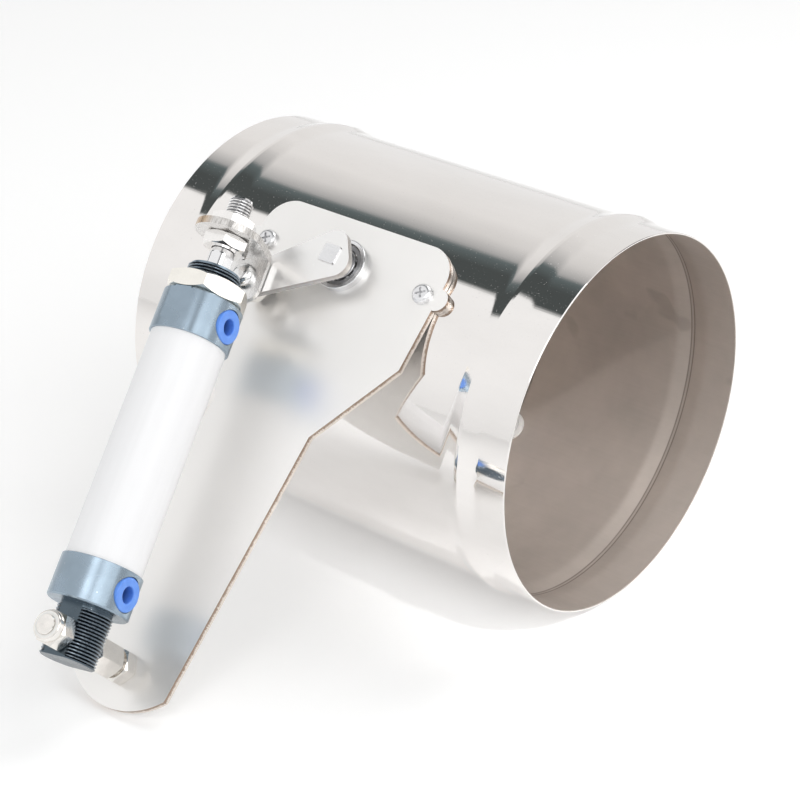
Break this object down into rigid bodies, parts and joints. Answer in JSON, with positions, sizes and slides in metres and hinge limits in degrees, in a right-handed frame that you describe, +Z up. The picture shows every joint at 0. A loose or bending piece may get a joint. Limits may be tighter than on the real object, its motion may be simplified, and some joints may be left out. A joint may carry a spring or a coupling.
{
  "type": "pneumatic air damper",
  "caption": "Round stainless duct section with a butterfly blade on a cross shaft, opened and closed by an air cylinder on a side plate.",
  "frame": {"origin": "centre of the outlet end of the duct, on the duct's axis", "axes": "+X along the duct's axis, out of the outlet end; +Z up, as the damper lies on its beads and the tip of its plate"},
  "size_m": [0.2, 0.3081, 0.1686],
  "materials": {
    "duct_stainless": "mirror polished outside, satin inside",
    "plate_stainless": "fine satin with laser-cut edges",
    "blade_stainless": "satin",
    "screw_steel": "bright",
    "bearing_steel": "ground and polished",
    "cage_steel": "pressed sheet",
    "nylon": "moulded",
    "shaft_steel": "turned",
    "nut_nickel": "nickel plated",
    "barrel_aluminium": "white natural anodised",
    "cap_anodised": "blue-grey anodised, turned",
    "plug_blue": "moulded",
    "seal_rubber": "moulded",
    "rod_chrome": "hard chromed and ground",
    "piston_aluminium": "turned"
  },
  "bodies": {
    "housing": {"duct_tube": "duct_stainless", "mounting_plate": "plate_stainless", "plate_screws": "screw_steel", "plate_screw_nuts": "screw_steel", "bearing_outer_ring": "bearing_steel", "bearing_balls": "bearing_steel", "bearing_cage": "cage_steel", "rear_bush": "nylon", "pivot_bolt": "nut_nickel", "plate_nut": "nut_nickel", "spacer_nut": "nut_nickel", "lock_nut": "nut_nickel", "lock_insert": "nylon"},
    "flap": {"blade_shaft": "shaft_steel", "damper_blade": "blade_stainless", "blade_screws": "screw_steel", "blade_nuts": "screw_steel", "bearing_inner_ring": "bearing_steel", "shaft_collar": "shaft_steel", "crank_arm": "plate_stainless", "pivot_nut": "nut_nickel", "retaining_clip": "cage_steel"},
    "cylinder": {"rear_cap": "cap_anodised", "front_cap": "cap_anodised", "barrel": "barrel_aluminium", "rod_wiper": "seal_rubber", "boss_nut": "nut_nickel", "rear_port_plug": "plug_blue", "front_port_plug": "plug_blue"},
    "rod": {"piston_rod": "rod_chrome", "piston": "piston_aluminium", "piston_seals": "seal_rubber", "rod_bracket": "plate_stainless", "lower_rod_nut": "nut_nickel", "upper_rod_nut": "nut_nickel", "pivot_pin": "shaft_steel"}
  },
  "joints": [
    {"name": "crank_turn", "type": "hinge", "parent": "housing", "child": "flap", "pos_m": [-0.1, 0, 0], "axis": [0, 0.7056, -0.7086], "range_deg": [0, 90.33]},
    {"name": "cylinder_swing", "type": "hinge", "parent": "housing", "child": "cylinder", "pos_m": [-0.1, -0.20926, -0.04494], "axis": [0, 0.7056, -0.7086], "range_deg": [0, 4.96]},
    {"name": "rod_slide", "type": "slide", "parent": "cylinder", "child": "rod", "axis": [-0.1865, 0.6962, 0.6932], "range_m": [0, 0.05005]}
  ],
  "couplings": [
    {"joint": "cylinder_swing", "follows": "crank_turn", "ratio": 0.054763},
    {"joint": "rod_slide", "follows": "crank_turn", "m_per_rad": 0.031714}
  ]
}
